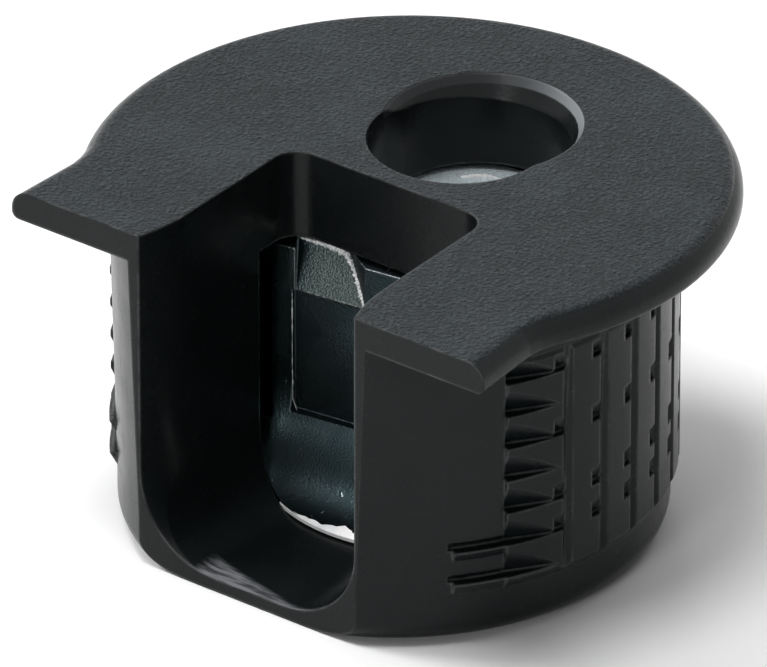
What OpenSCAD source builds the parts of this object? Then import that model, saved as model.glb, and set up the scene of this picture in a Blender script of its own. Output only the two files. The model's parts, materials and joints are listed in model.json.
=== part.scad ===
// Press-in shelf connector: a moulded housing with a flange, holding a metal clamping cam.
// The origin is on the barrel's axis at its bottom face. +Z points up to the flange,
// and the open bolt slot faces -Y.

/* [Barrel] */
// Diameter of the plain pilot band that guides the barrel into the bored hole
pilot_d = 19.7; // [19.5:0.05:20]
// Height of the pilot band's upper end above the bottom face
pilot_h = 1.95; // [1.8:0.05:2.2]
// Diameter of the tapering barrel under the flange
barrel_d = 20.1; // [20:0.05:20.4]
// Height of the barrel below the flange
barrel_h = 12.15; // [12:0.05:15]
// Distance from the barrel's axis to the flat front face
front_reach = 8.6; // [8:0.05:8.7]
// Rounding of the barrel's bottom edge
bottom_edge_r = 0.95; // [0.3:0.05:1.2]

/* [Flange] */
// Diameter of the round part of the flange
flange_d = 23.5; // [22.5:0.1:28]
// How far the flange's centre lies behind the barrel's axis
flange_back = 0.95; // [0.5:0.05:1.5]
// Thickness of the flange
flange_t = 1.15; // [1.1:0.05:2]
// Rounding of the flange's upper rim
flange_rim_r = 0.75; // [0.3:0.05:0.75]
// Rounding of the flange's lower rim
flange_under_r = 0.3; // [0.1:0.05:0.3]
// Width across the two wing tips at the front
wing_span = 20.74; // [19.5:0.1:21.5]
// Angle at which the wing sides lean in towards the rear
wing_lean = 3.4; // [0:0.1:6]
// Hollow fillet between a wing and the round rim
wing_fillet_r = 3.5; // [2:0.1:5]

/* [Bolt slot] */
// Width of the slot for the bolt
slot_w = 8.7; // [8:0.05:8.9]
// Depth of the slot from the front face to the bridge
slot_reach = 8.35; // [7.8:0.05:8.6]
// Rounding of the slot's two inner corners
slot_corner_r = 1; // [0.3:0.1:1.5]
// Thickness of the floor under the slot
floor_t = 0.5; // [0.4:0.05:0.8]
// Rounding between the slot's walls and its floor
slot_floor_r = 2.8; // [1.5:0.1:3.5]
// Radius of the flare at the slot's front edges
flare_r = 6.4; // [4:0.1:9]
// How far the flare widens the slot on each side
flare_w = 0.4; // [0.1:0.05:0.42]

/* [Driver hole] */
// Width of the driver hole across the housing
driver_hole_w = 6.6; // [6:0.1:7]
// Length of the driver hole from front to rear
driver_hole_l = 7.8; // [7.2:0.1:8.1]
// Distance of the driver hole's centre behind the barrel's axis
driver_hole_back = 4.4; // [4.3:0.05:4.8]
// Widening of the bevel at the hole's rear edge
driver_bevel_w = 0.3; // [0.2:0.05:0.4]
// Height of that bevel
driver_bevel_h = 0.5; // [0.3:0.05:0.8]
// How far the bevel lies behind the hole's rear end
driver_bevel_back = 0.2; // [0.1:0.05:0.3]

/* [Cam] */
// Diameter of the cam's drum
cam_d = 12.5; // [12:0.1:12.8]
// Distance of the cam's axis behind the barrel's axis
cam_back = 2.4; // [2.2:0.05:2.5]
// Thickness of the bridge over the cam
bridge_t = 3.45; // [2.8:0.05:4]
// Radial running clearance of the cam in its chamber
cam_clearance = 0.05; // [0.02:0.01:0.1]
// Clearance under the cam
cam_seat_gap = 0.05; // [0.02:0.01:0.2]
// Clearance between the cam's top and the bridge
cam_top_gap = 0.25; // [0.1:0.05:0.5]
// Overlap of the retaining lip below the cam
lip_w = 0.4; // [0.2:0.05:0.6]
// Depth of the groove round the drum
waist_depth = 0.45; // [0.3:0.05:0.7]
// Thickness of the drum's lower disc
lower_disc_t = 2.1; // [1.6:0.1:2.6]
// Thickness of the drum's upper disc
upper_disc_t = 1; // [0.6:0.1:1.4]
// Turn of the cam from square in the open position
open_turn = 7.5; // [0:0.5:10]
// Bevel on the drum's outer edges
cam_edge = 0.12; // [0.05:0.01:0.2]

/* [Head pocket] */
// Distance from the cam's axis to the pocket's rear wall
pocket_back = 2.75; // [2.7:0.05:3]
// Width of the flat seat in the pocket's rear wall
seat_w = 8.5; // [7:0.1:8.8]
// Thickness of the cam under the pocket
pocket_floor_t = 0.15; // [0.1:0.05:0.6]
// Width of the lead-in facet along the pocket's rear wall
lead_in_w = 2.85; // [2.5:0.05:3.2]
// Depth of the lead-in facet behind the pocket's rear wall
lead_in_depth = 0.97; // [0.6:0.01:1.1]
// Height of the lead-in facet
lead_in_h = 1.7; // [1.4:0.05:2]
// How far the facet cuts into the seat's upper end, and lies inside its edge
lead_in_step = 0.12; // [0.05:0.01:0.2]
// How far the facet's outer edge leans out towards the rear
lead_in_lean = 0.45; // [0:0.05:0.6]
// How far the facet's inner edge leans out towards the rear
lead_in_skew = 1.2; // [0:0.05:1.6]

/* [Clamping channel] */
// Radius of the core inside the channel
core_r = 2.6; // [2.4:0.05:2.65]
// Height of the channel for the bolt's head
channel_h = 4.9; // [4:0.1:5.2]
// Height of the slit for the bolt's neck
neck_h = 3.2; // [2.6:0.1:3.8]
// Radius of the channel's clamping face
clamp_face_r = 4.3; // [4.1:0.05:4.4]
// Eccentricity of the clamping face
clamp_throw = 0.4; // [0.1:0.05:0.5]
// Turn of the cam from open to clamped
clamp_turn = 180; // [120:5:190]
// How far the channel runs on past that turn, for half the head's width
channel_run_on = 30; // [20:1:40]

/* [Driver recess] */
// Length of the cross recess from tip to tip
recess_l = 5; // [4.4:0.1:5.2]
// Width of a cross arm
recess_w = 1.05; // [0.8:0.05:1.4]
// Depth of the cross recess
recess_depth = 2.4; // [1.5:0.1:2.6]
// Length of the recess at its bottom
recess_bottom_l = 2.2; // [1.4:0.1:3]

/* [Barbs] */
// How far the barbs stand out from the barrel's upper end
barb_out = 0.1; // [0.05:0.01:0.2]
// Height from one barb row to the next
barb_pitch = 1.3; // [1.2:0.05:1.3]
// Height of the lowest barb ledge above the bottom face
barb_low = 2.55; // [2.5:0.05:2.7]
// Angle of the barbs' front end from the side of the barrel
barb_start = 30; // [26:1:34]
// Width of the notched first column, as an angle
notch_angle = 14; // [10:1:18]
// Depth of the notches at the barbs' front end
notch_depth = 0.5; // [0.2:0.05:0.6]
// Height of the notches at the barbs' front end
notch_h = 1.05; // [0.8:0.05:1.1]
// Share of the first column's width that a notch takes up
notch_share = 0.8; // [0.6:0.05:0.9]
// Depth of the upright grooves between the barb columns
groove_depth = 0.22; // [0.1:0.01:0.3]
// Width of the small pits at the columns' edges
pit_w = 0.6; // [0.3:0.05:0.8]
// Depth of the pits
pit_depth = 0.3; // [0.1:0.05:0.35]
// Height of the pits
pit_h = 0.75; // [0.5:0.05:1]
// How far the two long ridges stand out from the barrel
ridge_out = 0.27; // [0.15:0.01:0.3]
// Height of the long ridges
ridge_h = 0.5; // [0.3:0.05:0.55]
// Depth of the groove over each long ridge
ridge_groove = 0.2; // [0.1:0.01:0.25]
// Angle of the ridges' front end from the side of the barrel
ridge_start = 41; // [38:1:44]

/* [Hidden] */
$fn = 96;

// Small overlap that keeps cuts clear of the faces they pass through
over = 0.5;
pilot_r = pilot_d / 2;
barrel_r = barrel_d / 2;
total_h = barrel_h + flange_t;
flange_r = flange_d / 2;
front_y = -front_reach;
bridge_y = front_y + slot_reach;
flare_l = sqrt(pow(flare_r, 2) - pow(flare_r - flare_w, 2));

cam_r = cam_d / 2;
chamber_r = cam_r + cam_clearance;
chamber_top = total_h - bridge_t;
cam_bottom = floor_t + cam_seat_gap;
cam_top = chamber_top - cam_top_gap;
pocket_floor = cam_bottom + pocket_floor_t;
scoop_r = cam_r - pocket_back;
channel_top = cam_top - lead_in_h;
channel_bottom = channel_top - channel_h;

barb_rows = 7;
pit_rows = [1, 2, 4, 6];
barb_r = barrel_r + barb_out;
barb_root = barb_r - pilot_r + barb_out;
// Slope of the barb band's upper and lower end, height over depth
barb_end_slope = 1.5;
barb_end_h = barb_end_slope * barb_root;
barb_bottom = pilot_h - barb_out;
barb_top = barb_low + barb_rows * barb_pitch;
barb_span = 180 + 2 * barb_start;
column_count = 22;
column_angle = (barb_span - 2 * notch_angle) / column_count;
ridge_r = pilot_r + ridge_out;
// Angle by which the ridges run on into the first column, and their grooves past their front end
ridge_run_on = 1;
ridge_span = ridge_start - barb_start + ridge_run_on;
// Small step by which the notches run past the barbs' front end
notch_lead = 0.05;

// Wing side: the centre of the hollow fillet that touches the wing's side and the round rim
wing_dir = [-sin(wing_lean), cos(wing_lean)];
wing_out = [cos(wing_lean), sin(wing_lean)];
wing_tip = [wing_span / 2, front_y];
fillet_from = wing_tip + wing_fillet_r * wing_out - [0, flange_back];
fillet_b = fillet_from * wing_dir;
fillet_c = fillet_from * fillet_from - pow(flange_r + wing_fillet_r, 2);
wing_l = -fillet_b - sqrt(pow(fillet_b, 2) - fillet_c);
fillet_at = wing_tip + wing_fillet_r * wing_out + wing_l * wing_dir;
fillet_angle = 180 + wing_lean - atan2(flange_back - fillet_at[1], -fillet_at[0]);
fillet_steps = 3;
fillet_step = fillet_angle / fillet_steps;

// Everything behind the flat front face
module behind_front(depth = 2 * flange_d) {
    translate([-depth / 2, front_y, -over])
        cube([depth, depth, total_h + 2 * over]);
}

// Half section of the flange, solid from x = 0 to its rounded outer edge at x = width
module rim_section(width) {
    top_z = flange_t - flange_rim_r;
    square([width - flange_rim_r, flange_t]);
    translate([0, flange_under_r])
        square([width, top_z - flange_under_r]);
    intersection() {
        translate([width - flange_rim_r, top_z])
            circle(flange_rim_r);
        translate([0, top_z])
            square([width, flange_rim_r]);
    }
    square([width - flange_under_r, top_z]);
    translate([width - flange_under_r, flange_under_r])
        circle(flange_under_r);
}

// Straight stretch of the flange's rim: its outer edge is at x = 0, and it runs along +Y
module rim_bar(width, length) {
    rotate([90, 0, 0])
        translate([-width, 0, -length])
            linear_extrude(length)
                rim_section(width);
}

// Right wing, from its tip back to the round rim
module wing() {
    width = wing_span / 2 - slot_w / 2;
    length = wing_l + 2 * over;
    translate([wing_tip[0], wing_tip[1], 0] - over * [wing_dir[0], wing_dir[1], 0])
        rotate([0, 0, wing_lean])
            rim_bar(width, length);
}

// Hollow corner between the right wing and the round rim, in short straight steps
module wing_fillet() {
    half = wing_fillet_r * tan(fillet_step / 2) + over;
    for (i = [1 : fillet_steps - 1])
        translate([fillet_at[0], fillet_at[1], 0])
            rotate([0, 0, wing_lean - i * fillet_step])
                translate([-wing_fillet_r, -half, 0])
                    rim_bar(wing_fillet_r, 2 * half);
}

// Round rim with a wing at each side of its flat front
module flange() {
    translate([0, 0, barrel_h])
        difference() {
            union() {
                translate([0, flange_back, 0])
                    rotate_extrude()
                        rim_section(flange_r);
                for (side = [0, 1])
                    mirror([side, 0, 0]) {
                        wing();
                        wing_fillet();
                    }
            }
            translate([-flange_d, front_y - flange_d, -over])
                cube([2 * flange_d, flange_d, flange_t + 2 * over]);
        }
}

// Round barrel: a rounded bottom edge, a plain pilot band and a slight taper up to the flange
module barrel() {
    rotate_extrude() {
        polygon([
            [0, bottom_edge_r],
            [pilot_r, bottom_edge_r],
            [pilot_r, pilot_h],
            [barrel_r, barrel_h],
            [barrel_r, barrel_h + flange_t / 2],
            [0, barrel_h + flange_t / 2]
        ]);
        square([pilot_r - bottom_edge_r, bottom_edge_r]);
        intersection() {
            translate([pilot_r - bottom_edge_r, bottom_edge_r])
                circle(bottom_edge_r);
            square([pilot_r, bottom_edge_r]);
        }
    }
}

// Band of barbs with sloped ends, round the sides and the rear
module barb_band() {
    rotate([0, 0, -barb_start])
        rotate_extrude(angle = barb_span)
            polygon([
                [barb_r - barb_root, barb_bottom],
                [barb_r, barb_bottom + barb_end_h],
                [barb_r, barb_top - barb_end_h],
                [barb_r - barb_root, barb_top]
            ]);
}

// Section of a barb's cut: a level ledge below and a slope above it
module barb_cut(depth, height) {
    polygon([[-over, 0], [depth, 0], [0, height], [-over, height]]);
}

// One notch of the first column, deepest at the barbs' front end
module notch() {
    length = barb_r * sin(notch_angle) * notch_share;
    rotate([0, 0, -barb_start])
        translate([barb_r, 0, 0])
            rotate([90, 0, 180 + notch_angle / 2 - atan2(notch_depth, length)])
                translate([0, 0, -notch_lead])
                    linear_extrude(length + over)
                        barb_cut(notch_depth, notch_h);
}

// One pit at the edge of a column
module pit() {
    translate([barb_r, -pit_w, 0])
        rotate([90, 0, 180])
            linear_extrude(pit_w)
                barb_cut(pit_depth, pit_h);
}

// Upright grooves that part the barb columns
module column_grooves() {
    first = notch_angle - barb_start;
    for (i = [0 : column_count])
        rotate([0, 0, first + i * column_angle])
            translate([barb_r, 0, 0])
                rotate([0, 0, 45])
                    translate([-groove_depth / sqrt(2), -groove_depth / sqrt(2), 0])
                        cube([groove_depth * sqrt(2), groove_depth * sqrt(2), barb_top + over]);
}

// Pits on the right half, at the rear edge of each column
module pits() {
    first = notch_angle - barb_start;
    for (i = [0 : column_count / 2 - 1])
        rotate([0, 0, first + i * column_angle])
            for (row = pit_rows)
                translate([0, 0, barb_low + row * barb_pitch])
                    pit();
}

// The two long ridges low on the barrel's right side
module ridges() {
    for (row = [0, 1])
        translate([0, 0, barb_low + row * barb_pitch])
            rotate([0, 0, -ridge_start])
                rotate_extrude(angle = ridge_span)
                    polygon([
                        [ridge_r - ridge_out - over, -ridge_h * (1 + over / ridge_out)],
                        [ridge_r, 0],
                        [ridge_r, ridge_out / 2],
                        [ridge_r - ridge_out - over, ridge_out / 2]
                    ]);
}

// Grooves over the two long ridges, which leave each ridge a level ledge
module ridge_grooves() {
    root_r = pilot_r - ridge_groove;
    for (row = [0, 1])
        translate([0, 0, barb_low + row * barb_pitch])
            rotate([0, 0, -ridge_start - ridge_run_on])
                rotate_extrude(angle = ridge_span + ridge_run_on)
                    polygon([
                        [root_r, 0],
                        [ridge_r + over, 0],
                        [ridge_r + over, ridge_h + over],
                        [root_r + ridge_groove + over, ridge_h + over]
                    ]);
}

module barbs() {
    difference() {
        barb_band();
        column_grooves();
    }
    for (side = [0, 1])
        mirror([side, 0, 0])
            ridges();
}

module barb_cuts() {
    for (side = [0, 1])
        mirror([side, 0, 0]) {
            for (row = [0 : barb_rows - 1])
                translate([0, 0, barb_low + row * barb_pitch])
                    notch();
            pits();
            ridge_grooves();
        }
}

// Slot seen from the front: upright walls, a level floor and rounded corners
module slot_front(width, floor_z, corner_r, top_z) {
    translate([-width / 2, floor_z + corner_r])
        square([width, top_z - floor_z - corner_r]);
    translate([corner_r - width / 2, floor_z])
        square([width - 2 * corner_r, 2 * corner_r]);
    for (side = [-1, 1])
        translate([side * (width / 2 - corner_r), floor_z + corner_r])
            circle(corner_r);
}

// Slot seen from above, with rounded inner corners
module slot_plan() {
    length = slot_reach + over;
    translate([-slot_w / 2, front_y - over])
        square([slot_w, length - slot_corner_r]);
    translate([slot_corner_r - slot_w / 2, front_y - over])
        square([slot_w - 2 * slot_corner_r, length]);
    for (side = [-1, 1])
        translate([side * (slot_w / 2 - slot_corner_r), bridge_y - slot_corner_r])
            circle(slot_corner_r);
}

// Flare of one slot wall: half the slot's section, widening to the front
module flare_section(half) {
    difference() {
        translate([0, -over])
            square([half + flare_w, flare_l + over]);
        translate([half + flare_r, flare_l])
            circle(flare_r);
    }
}

// Flare of the right front edge, upright and then round the floor corner
module slot_flare() {
    corner_r = slot_floor_r + flare_w;
    corner_z = floor_t + corner_r;
    corner_x = slot_w / 2 - slot_floor_r;
    translate([corner_x, front_y, corner_z])
        linear_extrude(total_h - corner_z + over)
            flare_section(slot_floor_r);
    translate([corner_x, front_y, corner_z])
        rotate([-90, 0, 0])
            rotate_extrude(angle = 90)
                flare_section(slot_floor_r);
}

module bolt_slot() {
    intersection() {
        linear_extrude(total_h + over)
            slot_plan();
        translate([0, front_y + 2 * slot_reach, 0])
            rotate([90, 0, 0])
                linear_extrude(3 * slot_reach)
                    slot_front(slot_w, floor_t, slot_floor_r, total_h + over);
    }
    for (side = [0, 1])
        mirror([side, 0, 0])
            slot_flare();
}

// Round chamber for the cam, open below through the retaining lip
module cam_chamber() {
    translate([0, cam_back, floor_t])
        cylinder(r = chamber_r, h = chamber_top - floor_t);
    translate([0, cam_back, -over])
        cylinder(r = chamber_r - lip_w, h = floor_t + 2 * over);
}

// Long hole for the driver, with a bevel at its rear edge
module driver_hole() {
    end_r = driver_hole_w / 2;
    end_y = driver_hole_l / 2 - end_r;
    slope = driver_bevel_w / driver_bevel_h;
    translate([0, driver_hole_back, chamber_top - over])
        linear_extrude(bridge_t + 2 * over) {
            translate([-end_r, -end_y])
                square([driver_hole_w, 2 * end_y]);
            for (end = [-1, 1])
                translate([0, end * end_y])
                    circle(end_r);
        }
    translate([0, driver_hole_back + end_y + driver_bevel_back, total_h - driver_bevel_h - over])
        cylinder(
            r1 = end_r - slope * over,
            r2 = end_r + driver_bevel_w + slope * over,
            h = driver_bevel_h + 2 * over
        );
}

module housing() {
    color([0.1, 0.1, 0.11])
        difference() {
            union() {
                intersection() {
                    difference() {
                        union() {
                            barrel();
                            barbs();
                        }
                        barb_cuts();
                    }
                    behind_front();
                }
                flange();
            }
            bolt_slot();
            cam_chamber();
            driver_hole();
        }
}

// Turned drum: two discs with a groove between them
module cam_drum() {
    waist_r = cam_r - waist_depth;
    rotate_extrude()
        polygon([
            [0, cam_bottom],
            [cam_r - cam_edge, cam_bottom],
            [cam_r, cam_bottom + cam_edge],
            [cam_r, cam_bottom + lower_disc_t - cam_edge],
            [cam_r - cam_edge, cam_bottom + lower_disc_t],
            [waist_r, cam_bottom + lower_disc_t],
            [waist_r, cam_top - upper_disc_t],
            [cam_r - cam_edge, cam_top - upper_disc_t],
            [cam_r, cam_top - upper_disc_t + cam_edge],
            [cam_r, cam_top - cam_edge],
            [cam_r - cam_edge, cam_top],
            [0, cam_top]
        ]);
}

// Pocket for the bolt's head: open to the front, the sides and the top, with a scooped floor
module head_pocket() {
    translate([-cam_d / 2 - over, 0, 0])
        rotate([90, 0, 90])
            linear_extrude(cam_d + 2 * over) {
                translate([-cam_d, pocket_floor + scoop_r])
                    square([cam_d - pocket_back, cam_top]);
                translate([-cam_r, pocket_floor + scoop_r])
                    circle(scoop_r);
                translate([-cam_d, pocket_floor])
                    square([cam_r, 2 * scoop_r]);
            }
}

// Flat seat let into the pocket's rear wall, level with the front of the core
module head_seat() {
    translate([-seat_w / 2, -pocket_back - over, channel_bottom])
        cube([seat_w, over + pocket_back - core_r, channel_h]);
}

// Steep facet that leads the head down into the pocket
module lead_in() {
    left = lead_in_step - seat_w / 2;
    right = left + lead_in_w;
    rear = lead_in_depth - pocket_back;
    run_on = over / lead_in_depth;
    foot_z = channel_top - lead_in_step;
    intersection() {
        linear_extrude(cam_top + over)
            polygon([
                [left + lead_in_lean * run_on, -pocket_back - over],
                [right + lead_in_skew * run_on, -pocket_back - over],
                [right - lead_in_skew, rear],
                [left - lead_in_lean, rear]
            ]);
        translate([-cam_r, 0, 0])
            rotate([90, 0, 90])
                linear_extrude(2 * cam_r)
                    polygon([
                        [-pocket_back - over, foot_z],
                        [-pocket_back, foot_z],
                        [rear, cam_top],
                        [rear, cam_top + over],
                        [-pocket_back - over, cam_top + over]
                    ]);
    }
}

// Channel round the core: the head slides behind its eccentric outer face
module clamp_channel() {
    sweep = clamp_turn + channel_run_on;
    difference() {
        intersection() {
            translate([0, -clamp_throw, channel_bottom])
                cylinder(r = clamp_face_r, h = channel_h);
            translate([0, 0, channel_bottom])
                rotate([0, 0, -90])
                    rotate_extrude(angle = sweep)
                        square([cam_d, channel_h]);
        }
        translate([0, 0, channel_bottom - over])
            cylinder(r = core_r, h = channel_h + 2 * over);
    }
    translate([0, 0, channel_bottom + (channel_h - neck_h) / 2])
        rotate([0, 0, -90])
            rotate_extrude(angle = sweep)
                translate([core_r + over, 0])
                    square([cam_r, neck_h]);
}

// Tapering cross recess for the driver
module driver_recess() {
    for (arm = [0, 90])
        rotate([0, 0, arm])
            rotate([90, 0, 0])
                translate([0, 0, -recess_w / 2])
                    linear_extrude(recess_w)
                        polygon([
                            [-recess_bottom_l / 2, cam_top - recess_depth],
                            [recess_bottom_l / 2, cam_top - recess_depth],
                            [recess_l / 2, cam_top],
                            [recess_l / 2, cam_top + over],
                            [-recess_l / 2, cam_top + over],
                            [-recess_l / 2, cam_top]
                        ]);
}

module clamping_cam() {
    color([0.62, 0.66, 0.68])
        translate([0, cam_back, 0])
            rotate([0, 0, open_turn])
                difference() {
                    cam_drum();
                    head_pocket();
                    head_seat();
                    lead_in();
                    clamp_channel();
                    driver_recess();
                }
}

housing();
clamping_cam();
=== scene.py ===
"""Looks of the furniture cam lock fitting: moulded plastic, cast metal, a pale floor, soft light and the camera."""

import json
import math
import random

import bmesh
import bpy
from mathutils import Matrix, Vector


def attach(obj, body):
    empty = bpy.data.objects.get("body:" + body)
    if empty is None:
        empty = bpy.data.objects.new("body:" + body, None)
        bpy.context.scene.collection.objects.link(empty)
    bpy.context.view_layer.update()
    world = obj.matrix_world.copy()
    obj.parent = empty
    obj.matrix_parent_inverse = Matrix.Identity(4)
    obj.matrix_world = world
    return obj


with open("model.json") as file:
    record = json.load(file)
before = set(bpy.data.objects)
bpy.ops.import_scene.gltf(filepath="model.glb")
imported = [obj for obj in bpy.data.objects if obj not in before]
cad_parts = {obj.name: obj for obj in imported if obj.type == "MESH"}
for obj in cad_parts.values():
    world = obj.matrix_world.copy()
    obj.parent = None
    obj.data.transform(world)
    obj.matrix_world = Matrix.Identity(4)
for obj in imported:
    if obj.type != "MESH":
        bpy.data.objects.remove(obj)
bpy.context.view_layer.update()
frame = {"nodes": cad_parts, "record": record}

MM = 0.001

# Housing: where its materials change
FLANGE_TOP = (12.5 * MM, 13.0 * MM)  # heights between which the grain of the flange's top sets in
HOLE_REAR = (0.0, 5.2 * MM, 13.3 * MM)  # centre of the bevel behind the driver hole, on the flange's top
HOLE_BEVEL_R = 3.63 * MM  # that bevel's outer radius
HOLE_BEVEL_FOOT = 12.95 * MM
LIP_HIGHLIGHT_SLOPE = 0.24  # the painted highlight on the slot's lip narrows to the right by this much of x
LIP_HIGHLIGHT_REAR = (-7.8 * MM, -8.15 * MM)
LIP_HIGHLIGHT_LEFT = (-2.5 * MM, -1.9 * MM)
LIP_HIGHLIGHT_TOP = (2.6 * MM, 1.8 * MM)
PLASTIC_EDGE = 0.17 * MM  # rounding of edges in the shading
GRAIN_DEPTH = 0.22 * MM

# Cam at rest: where its skin changes
FACET_FOOT = (7.7 * MM, 7.9 * MM)
FACET_LEFT = (-4.3 * MM, -2.9 * MM)
TOP_FACE = (9.52 * MM, 9.58 * MM)
TOP_FACE_FRONT = (0.2 * MM, 1.2 * MM)
DRUM_LEFT = (-3.9 * MM, -4.3 * MM)
BEYOND_SLOPE = 0.855  # the facet's right edge, where x + slope * z reaches the next values
BEYOND = (5.8 * MM, 6.1 * MM)
CHIPPED_FOOT = (1.9 * MM, 0.8 * MM)
ZINC_EDGE = 0.08 * MM
ZINC_DEPTH = 0.06 * MM
OPEN_TURN_DEG = 7.5  # the cam's turn in its open position, as in the part's source


class Nodes:
    """A short way to write a material's node tree."""

    def __init__(self, tree):
        self.tree = tree
        tree.nodes.clear()

    def add(self, kind, **values):
        node = self.tree.nodes.new(kind)
        for key, value in values.items():
            setattr(node, key, value)
        return node

    def join(self, out, into):
        self.tree.links.new(out, into)

    def split(self, vector):
        node = self.add("ShaderNodeSeparateXYZ")
        self.join(vector, node.inputs[0])
        return node.outputs

    def noise(self, place, scale, detail, rough):
        node = self.add("ShaderNodeTexNoise")
        node.inputs["Scale"].default_value = scale
        node.inputs["Detail"].default_value = detail
        node.inputs["Roughness"].default_value = rough
        self.join(place, node.inputs["Vector"])
        return node.outputs["Fac"]

    def ramp(self, value, low, high, to_low=0.0, to_high=1.0):
        """A smooth step from to_low to to_high as the value goes from low to high."""
        node = self.add("ShaderNodeMapRange", interpolation_type="SMOOTHSTEP")
        for name, number in (("From Min", low), ("From Max", high), ("To Min", to_low), ("To Max", to_high)):
            node.inputs[name].default_value = number
        self.join(value, node.inputs["Value"])
        return node.outputs["Result"]

    def math(self, operation, a, b):
        node = self.add("ShaderNodeMath", operation=operation)
        for socket, value in zip(node.inputs, (a, b)):
            if isinstance(value, (int, float)):
                socket.default_value = value
            else:
                self.join(value, socket)
        return node.outputs[0]

    def plus(self, a, b):
        return self.math("ADD", a, b)

    def times(self, a, b):
        return self.math("MULTIPLY", a, b)

    def blend(self, factor, a, b):
        """Colour a where the factor is 0 and b where it is 1."""
        node = self.add("ShaderNodeMix", data_type="RGBA")
        self.join(factor, node.inputs["Factor"])
        for socket, value in ((node.inputs[6], a), (node.inputs[7], b)):
            if isinstance(value, tuple):
                socket.default_value = (*value, 1.0)
            else:
                self.join(value, socket)
        return node.outputs[2]

    def bump(self, height, strength, distance, normal=None):
        node = self.add("ShaderNodeBump")
        node.inputs["Strength"].default_value = strength
        node.inputs["Distance"].default_value = distance
        self.join(height, node.inputs["Height"])
        if normal is not None:
            self.join(normal, node.inputs["Normal"])
        return node.outputs["Normal"]

    def edge(self, radius):
        """The rounded normal of an edge, and how far it turns from the flat one."""
        bevel = self.add("ShaderNodeBevel", samples=6)
        bevel.inputs["Radius"].default_value = radius
        flat = self.add("ShaderNodeNewGeometry")
        dot = self.add("ShaderNodeVectorMath", operation="DOT_PRODUCT")
        self.join(bevel.outputs["Normal"], dot.inputs[0])
        self.join(flat.outputs["Normal"], dot.inputs[1])
        return bevel.outputs["Normal"], self.ramp(dot.outputs["Value"], 0.995, 0.86)


def new_material(name):
    """A new material, its nodes, its shader and the object's own coordinates."""
    material = bpy.data.materials.new(name)
    material.use_nodes = True
    nodes = Nodes(material.node_tree)
    out = nodes.add("ShaderNodeOutputMaterial")
    shader = nodes.add("ShaderNodeBsdfPrincipled")
    nodes.join(shader.outputs["BSDF"], out.inputs["Surface"])
    return material, nodes, shader, nodes.add("ShaderNodeTexCoord")


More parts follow.
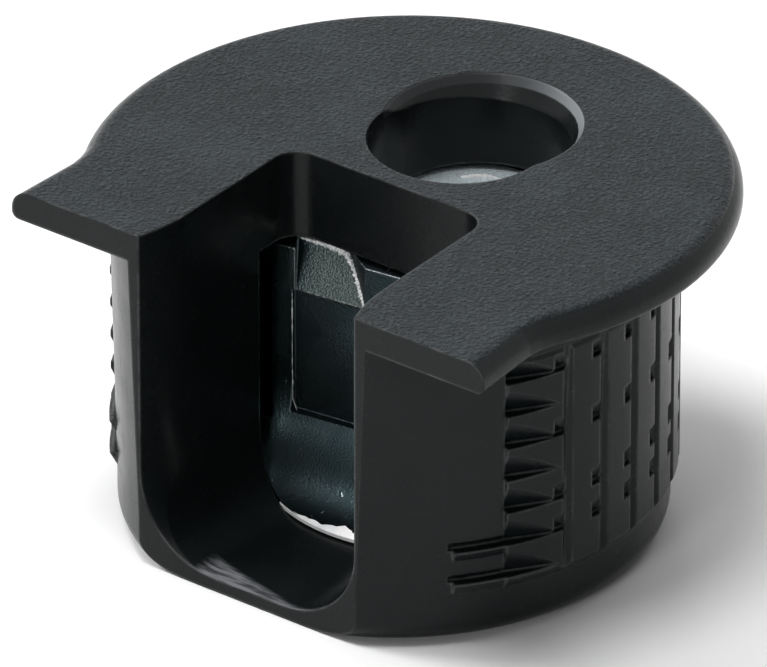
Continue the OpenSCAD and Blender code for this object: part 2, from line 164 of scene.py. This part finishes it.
def plastic():
    """Black moulded plastic: spark-grained on the flange's top, satin with fine flow marks elsewhere, with painted
    sheen on the top and painted highlights on the hole's bevel, the slot's lip and the edges.
    """
    material, n, shader, coords = new_material("moulded_plastic")
    place = coords.outputs["Object"]
    spot = n.split(place)
    facing = n.split(coords.outputs["Normal"])

    # The flange's flat top, and the bevel behind the driver hole, which carries a pale painted reflection, brighter
    # to the right
    to_hole = n.add("ShaderNodeVectorMath", operation="DISTANCE")
    to_hole.inputs[1].default_value = HOLE_REAR
    n.join(place, to_hole.inputs[0])
    outside = n.ramp(to_hole.outputs["Value"], HOLE_BEVEL_R - 0.03 * MM, HOLE_BEVEL_R + 0.01 * MM)
    top = n.times(n.times(n.ramp(spot["Z"], *FLANGE_TOP), n.ramp(facing["Z"], 0.80, 0.98)), outside)
    bevel = n.times(n.ramp(spot["Z"], HOLE_BEVEL_FOOT, FLANGE_TOP[1]), n.math("SUBTRACT", 1.0, outside))
    bevel = n.times(bevel, n.ramp(spot["X"], -2.2 * MM, 2.4 * MM, 0.1, 1.0))

    # Grain: fine sand, a coarser wave and small pimples
    grain = n.noise(place, 6600, 2.0, 0.6)
    coarse = n.noise(place, 2600, 2.0, 0.5)
    cells = n.add("ShaderNodeTexVoronoi", feature="F1")
    cells.inputs["Scale"].default_value = 3600
    n.join(place, cells.inputs["Vector"])
    pimple = n.ramp(cells.outputs["Distance"], 0.42, 0.05)
    mixed = n.plus(n.times(grain, 0.95), n.times(coarse, 0.12))
    mixed = n.plus(mixed, n.times(pimple, 0.22))
    cloud = n.noise(place, 240, 3.0, 0.55)
    flow = n.noise(place, 700, 4.0, 0.6)

    # Painted highlight on the front lip of the slot's floor, wider on the left, broken by streaks along the lip
    slant = n.plus(spot["Y"], n.times(spot["X"], LIP_HIGHLIGHT_SLOPE))
    lip_highlight = n.times(n.ramp(slant, *LIP_HIGHLIGHT_REAR), n.ramp(spot["X"], *LIP_HIGHLIGHT_LEFT))
    lip_highlight = n.times(lip_highlight, n.times(n.ramp(facing["Z"], 0.3, 0.7), n.ramp(spot["Z"], *LIP_HIGHLIGHT_TOP)))
    drawn = n.add("ShaderNodeMapping")
    drawn.inputs["Scale"].default_value = (0.12, 1.0, 1.0)
    n.join(place, drawn.inputs["Vector"])
    streak = n.noise(drawn.outputs["Vector"], 4200, 3.0, 0.65)
    lip_highlight = n.times(lip_highlight, n.ramp(streak, 0.36, 0.60, 0.15, 1.0))

    rounded, edge_mask = n.edge(PLASTIC_EDGE)
    grained = n.times(mixed, n.plus(n.times(top, 0.975), 0.025))
    n.join(n.bump(grained, 1.0, GRAIN_DEPTH, rounded), shader.inputs["Normal"])

    base = n.blend(n.ramp(cloud, 0.3, 0.7), (0.0044, 0.0060, 0.0064), (0.0068, 0.0083, 0.0087))
    # The flange's top: painted sheen, lighter and bluer than the sides, lighter still on the grain's bumps as
    # painted highlights on its relief
    top_sheen = n.blend(n.ramp(mixed, 0.46, 0.80), (0.0010, 0.0038, 0.0054), (0.0230, 0.0345, 0.0415))
    # Broad random patches of lighter painted sheen on the top
    top_sheen = n.blend(n.ramp(cloud, 0.42, 0.70, 0.0, 0.4), top_sheen, (0.0220, 0.0320, 0.0380))
    # The bevel behind the driver hole: a pale painted reflection
    with_bevel_reflection = n.blend(bevel, n.blend(top, base, top_sheen), (0.200, 0.215, 0.225))
    # The slot's lip: a pale painted highlight, also rougher
    with_lip_highlight = n.blend(lip_highlight, with_bevel_reflection, (0.165, 0.172, 0.185))
    # Edges: a painted highlight, patchy along the flow marks
    edge_highlight = n.times(edge_mask, n.ramp(flow, 0.35, 0.62, 0.1, 0.7))
    n.join(n.blend(edge_highlight, with_lip_highlight, (0.110, 0.116, 0.117)), shader.inputs["Base Color"])

    rough = n.plus(n.ramp(flow, 0.3, 0.7, 0.22, 0.29), n.times(top, 0.12))
    n.join(n.plus(rough, n.times(lip_highlight, 0.25)), shader.inputs["Roughness"])
    shader.inputs["Specular IOR Level"].default_value = 0.17
    return material


def zinc():
    """Cast zinc alloy: a dark smooth skin, a facet painted lighter as painted light from above, a silvery top face,
    chips, and bright edges that are partly wear and partly painted highlight.
    """
    material, n, shader, coords = new_material("cast_zinc")
    place = coords.outputs["Object"]
    spot = n.split(place)
    cloud = n.noise(place, 330, 3.0, 0.5)
    fine = n.noise(place, 14000, 1.0, 0.5)
    chip = n.noise(place, 5200, 1.0, 0.4)
    facet = n.times(n.ramp(spot["Z"], *FACET_FOOT), n.ramp(spot["X"], *FACET_LEFT))
    top = n.times(n.ramp(spot["Z"], *TOP_FACE), n.ramp(spot["Y"], *TOP_FACE_FRONT))
    facet_and_top = n.math("MAXIMUM", facet, top)
    beyond = n.ramp(n.plus(spot["X"], n.times(spot["Z"], BEYOND_SLOPE)), *BEYOND)

    rounded, edge_mask = n.edge(ZINC_EDGE)
    height = n.times(fine, n.plus(n.times(facet_and_top, 0.55), 0.15))
    n.join(n.bump(height, 0.9, ZINC_DEPTH, rounded), shader.inputs["Normal"])

    speckle = n.ramp(fine, 0.35, 0.65)
    dark = n.blend(n.ramp(cloud, 0.35, 0.65), (0.027, 0.042, 0.046), (0.052, 0.075, 0.081))
    # The drum left of the panel: painted lighter, as painted light on a part that lies in shade
    dark = n.blend(n.ramp(spot["X"], *DRUM_LEFT), dark, (0.070, 0.115, 0.118))
    # The facet: painted lighter than the skin below, as painted light from above, with speckle
    light = n.blend(speckle, (0.070, 0.092, 0.090), (0.114, 0.139, 0.134))
    # Beyond the facet's right edge: painted darker, as painted shade
    light = n.blend(beyond, light, (0.034, 0.050, 0.055))
    silver = n.blend(speckle, (0.50, 0.575, 0.60), (0.68, 0.75, 0.775))
    skin = n.blend(top, n.blend(facet, dark, light), silver)
    chip = n.plus(chip, n.ramp(spot["Z"], *CHIPPED_FOOT, 0.0, 0.035))
    chipped = n.blend(n.ramp(chip, 0.77, 0.80), skin, (0.45, 0.50, 0.52))
    # Edges: bright bare metal, partly edge wear and partly painted highlight, strongest on the facet and the top
    edge_wear_and_highlight = n.times(edge_mask, n.plus(n.times(facet_and_top, 0.65), 0.12))
    edge_wear_and_highlight = n.times(edge_wear_and_highlight, n.ramp(fine, 0.35, 0.6, 0.3, 1.0))
    n.join(n.blend(edge_wear_and_highlight, chipped, (0.78, 0.82, 0.83)), shader.inputs["Base Color"])

    rough = n.plus(n.ramp(cloud, 0.3, 0.7, 0.30, 0.24), n.times(facet_and_top, 0.22))
    n.join(n.plus(rough, n.times(top, 0.16)), shader.inputs["Roughness"])
    shader.inputs["Metallic"].default_value = 1.0
    return material


def flash_highlight_material():
    """Flaked casting flash, coloured near white and hardly metallic as a painted highlight, and grainy."""
    material, n, shader, coords = new_material("flash_zinc_painted_highlight")
    place = coords.outputs["Object"]
    fine = n.noise(place, 6000, 3.0, 0.6)
    patch = n.noise(place, 1500, 2.0, 0.5)
    n.join(n.bump(fine, 0.5, 0.02 * MM), shader.inputs["Normal"])
    # Near-white colour: a painted highlight on the flash
    n.join(n.blend(n.ramp(patch, 0.3, 0.6), (0.84, 0.87, 0.88), (0.98, 0.98, 0.98)), shader.inputs["Base Color"])
    n.join(n.ramp(fine, 0.3, 0.7, 0.34, 0.5), shader.inputs["Roughness"])
    shader.inputs["Metallic"].default_value = 0.15
    return material


def floor_material():
    """Pale floor: near white, with a faint cloud, and matt."""
    material, n, shader, coords = new_material("pale_floor")
    cloud = n.noise(coords.outputs["Object"], 6, 2.0, 0.5)
    n.join(n.blend(cloud, (0.90, 0.90, 0.90), (0.93, 0.93, 0.93)), shader.inputs["Base Color"])
    shader.inputs["Roughness"].default_value = 0.9
    shader.inputs["Specular IOR Level"].default_value = 0.1
    return material


def dress(node, material):
    mesh = frame["nodes"][node].data
    mesh.materials.clear()
    mesh.materials.append(material)


dress("housing", plastic())
dress("clamping_cam", zinc())

# Casting flash: thin ragged strips that ride on the cam, coloured as painted highlights, in its own axes and
# millimetres
scene = bpy.context.scene
cam_axis = Vector(frame["record"]["behaviour"]["joints"][0]["pos_m"])
open_turn = Matrix.Rotation(math.radians(OPEN_TURN_DEG), 4, "Z")
flash_highlight_paint = flash_highlight_material()


def strip(name, sections):
    """A closed piece on the cam through sections, each a ring of the same number of points on the cam."""
    mesh = bmesh.new()
    rings = [[mesh.verts.new(cam_axis + open_turn @ (MM * point)) for point in section] for section in sections]
    for low, high in zip(rings, rings[1:]):
        for j in range(len(low)):
            k = (j + 1) % len(low)
            mesh.faces.new((low[j], low[k], high[k], high[j]))
    mesh.faces.new(list(reversed(rings[0])))
    mesh.faces.new(rings[-1])
    bmesh.ops.recalc_face_normals(mesh, faces=mesh.faces)
    data = bpy.data.meshes.new(name)
    mesh.to_mesh(data)
    mesh.free()
    data.materials.append(flash_highlight_paint)
    piece = bpy.data.objects.new(name, data)
    scene.collection.objects.link(piece)
    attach(piece, "cam")


def flash(name, path, radii, seed, ragged=0.45):
    """A ragged strip along a path of points; radii are its half widths at the path's points."""
    sides, steps = 7, 14
    chance = random.Random(seed)
    legs = len(path) - 1
    sections = []
    for i in range(steps * legs + 1):
        at = i / steps
        k = min(int(at), legs - 1)
        a, b = Vector(path[k]), Vector(path[k + 1])
        centre = a.lerp(b, at - k)
        along = (b - a).normalized()
        across = Vector((0.0, 0.0, 1.0)) if abs(along.z) < 0.9 else Vector((1.0, 0.0, 0.0))
        side = along.cross(across).normalized()
        over = side.cross(along)
        radius = radii[k] + (radii[k + 1] - radii[k]) * (at - k)
        radius *= 1 + ragged * chance.uniform(-1, 1)
        section = []
        for j in range(sides):
            turn = 2 * math.pi * j / sides
            reach = radius * (1 + 0.5 * ragged * chance.uniform(-1, 1))
            section.append(centre + reach * (math.cos(turn) * side + math.sin(turn) * over))
        sections.append(section)
    strip(name, sections)


flash(
    "facet_top_flash_highlight",
    [(-4.45, -1.84, 9.52), (-3.67, -1.84, 9.52), (-3.06, -1.84, 9.51), (-2.55, -1.87, 9.46)],
    [0.03, 0.075, 0.11, 0.14], 3,
)
flash(
    "facet_side_flash_highlight",
    [(-2.55, -1.87, 9.46), (-2.19, -2.05, 9.13), (-1.86, -2.27, 8.72), (-1.57, -2.49, 8.3), (-1.34, -2.70, 7.94)],
    [0.13, 0.075, 0.09, 0.10, 0.06], 5,
)
flash(
    "panel_edge_flash_highlight",
    [(-4.25, -2.76, 7.75), (-4.26, -2.76, 5.4), (-4.24, -2.76, 3.4), (-4.08, -2.755, 3.0), (-3.9, -2.75, 2.97)],
    [0.020, 0.006, 0.013, 0.006, 0.010], 7, ragged=0.9,
)
# Along the top face's edge, seen through the driver hole, as a painted highlight
flash(
    "top_edge_flash_highlight",
    [(-1.55, 4.62, 9.6), (-1.15, 4.85, 9.61), (-0.7, 5.05, 9.61), (-0.1, 5.2, 9.6)],
    [0.05, 0.11, 0.12, 0.04], 9, ragged=0.2,
)


def rim_flash_highlight():
    """A ragged sloped lip of flash along the front of the cam's lower rim, in steps of its angle; its colour is a
    painted highlight.
    """
    outer, bottom, rise = 6.27, 0.58, 0.58 + 0.13
    first_deg, last_deg, count, cracked_at = -122, -58, 64, 33
    chance = random.Random(11)
    sections = []
    for i in range(count + 1):
        share = i / count
        turn = math.radians(first_deg + (last_deg - first_deg) * share)
        swell = min(1.0, share / 0.55) ** 1.7 * min(1.0, (1.0 - share) / 0.12 + 0.05)
        wave = 0.16 * math.sin(31 * share + 1.0) + 0.10 * math.sin(73 * share) + 0.07 * chance.uniform(-1, 1)
        crack = 0.6 if i == cracked_at else 1.0
        width = (0.03 + 0.38 * swell) * (1 + wave) * crack
        section = (
            (outer, bottom), (outer, rise), (outer - 0.5 * width, rise + 0.31 * width),
            (outer - width, rise + 0.01 + 0.56 * width), (outer - width - 0.05, bottom),
        )
        sections.append([Vector((r * math.cos(turn), r * math.sin(turn), z)) for r, z in section])
    strip("rim_flash_highlight", sections)


rim_flash_highlight()

# Stage: a pale floor that the fitting stands on
bpy.ops.mesh.primitive_circle_add(vertices=96, radius=3.0, fill_type="NGON", location=(0, 0, -0.02 * MM))
floor = bpy.context.object
floor.name = "floor"
floor.data.materials.append(floor_material())

# Soft light: a sky that is white to the eye and in reflections, and lights the part from above, behind and the left
scene.view_settings.view_transform = "Standard"
world = bpy.data.worlds.new("studio")
scene.world = world
world.use_nodes = True
sky = Nodes(world.node_tree)
out = sky.add("ShaderNodeOutputWorld")
plain = sky.add("ShaderNodeBackground")
plain.inputs["Color"].default_value = (1.0, 1.0, 1.0, 1.0)
path = sky.add("ShaderNodeLightPath")
ray = sky.add("ShaderNodeTexCoord")
bright_side = sky.add("ShaderNodeVectorMath", operation="DOT_PRODUCT")
bright_side.inputs[1].default_value = (-0.68, 0.37, 0.63)
sky.join(ray.outputs["Generated"], bright_side.inputs[0])
around = sky.ramp(bright_side.outputs["Value"], 0.1, 0.8, 0.10, 1.0)
seen = sky.math("MAXIMUM", path.outputs["Is Camera Ray"], path.outputs["Is Transmission Ray"])
seen = sky.math("MAXIMUM", seen, path.outputs["Is Glossy Ray"])
sky.join(sky.math("MAXIMUM", around, seen), plain.inputs["Strength"])
sky.join(plain.outputs["Background"], out.inputs["Surface"])


def lamp(name, place, power, size):
    """A round soft lamp that faces the part."""
    data = bpy.data.lights.new(name, "AREA")
    data.energy = power
    data.shape = "DISK"
    data.size = size
    made = bpy.data.objects.new(name, data)
    made.location = place
    made.rotation_euler = (-Vector(place)).to_track_quat("-Z", "Y").to_euler()
    scene.collection.objects.link(made)


lamp("key", (-0.62, -0.22, 0.50), 3.4, 0.26)
lamp("top", (-0.08, -0.13, 0.80), 2.8, 0.30)
lamp("fill", (0.12, -0.82, 0.30), 1.5, 0.25)
lamp("back", (-0.50, 0.58, 0.46), 0.42, 0.18)  # weak: it brings out the grain's relief

# Camera at the photograph's angle
azimuth, elevation, distance = math.radians(37.12), math.radians(30.17), 0.551
level = math.cos(elevation)
back = Vector((math.sin(azimuth) * level, -math.cos(azimuth) * level, math.sin(elevation)))
right = Vector((math.cos(azimuth), math.sin(azimuth), 0.0))
up = back.cross(right)
target = -0.376 * MM * right + 6.086 * MM * up
view = bpy.data.cameras.new("camera")
view.sensor_width = 36.0
view.lens = 725.7
view.clip_start = 0.05
view.clip_end = 20.0
camera = bpy.data.objects.new("camera", view)
camera.location = target + distance * back
camera.rotation_euler = back.to_track_quat("Z", "Y").to_euler()
scene.collection.objects.link(camera)
scene.camera = camera
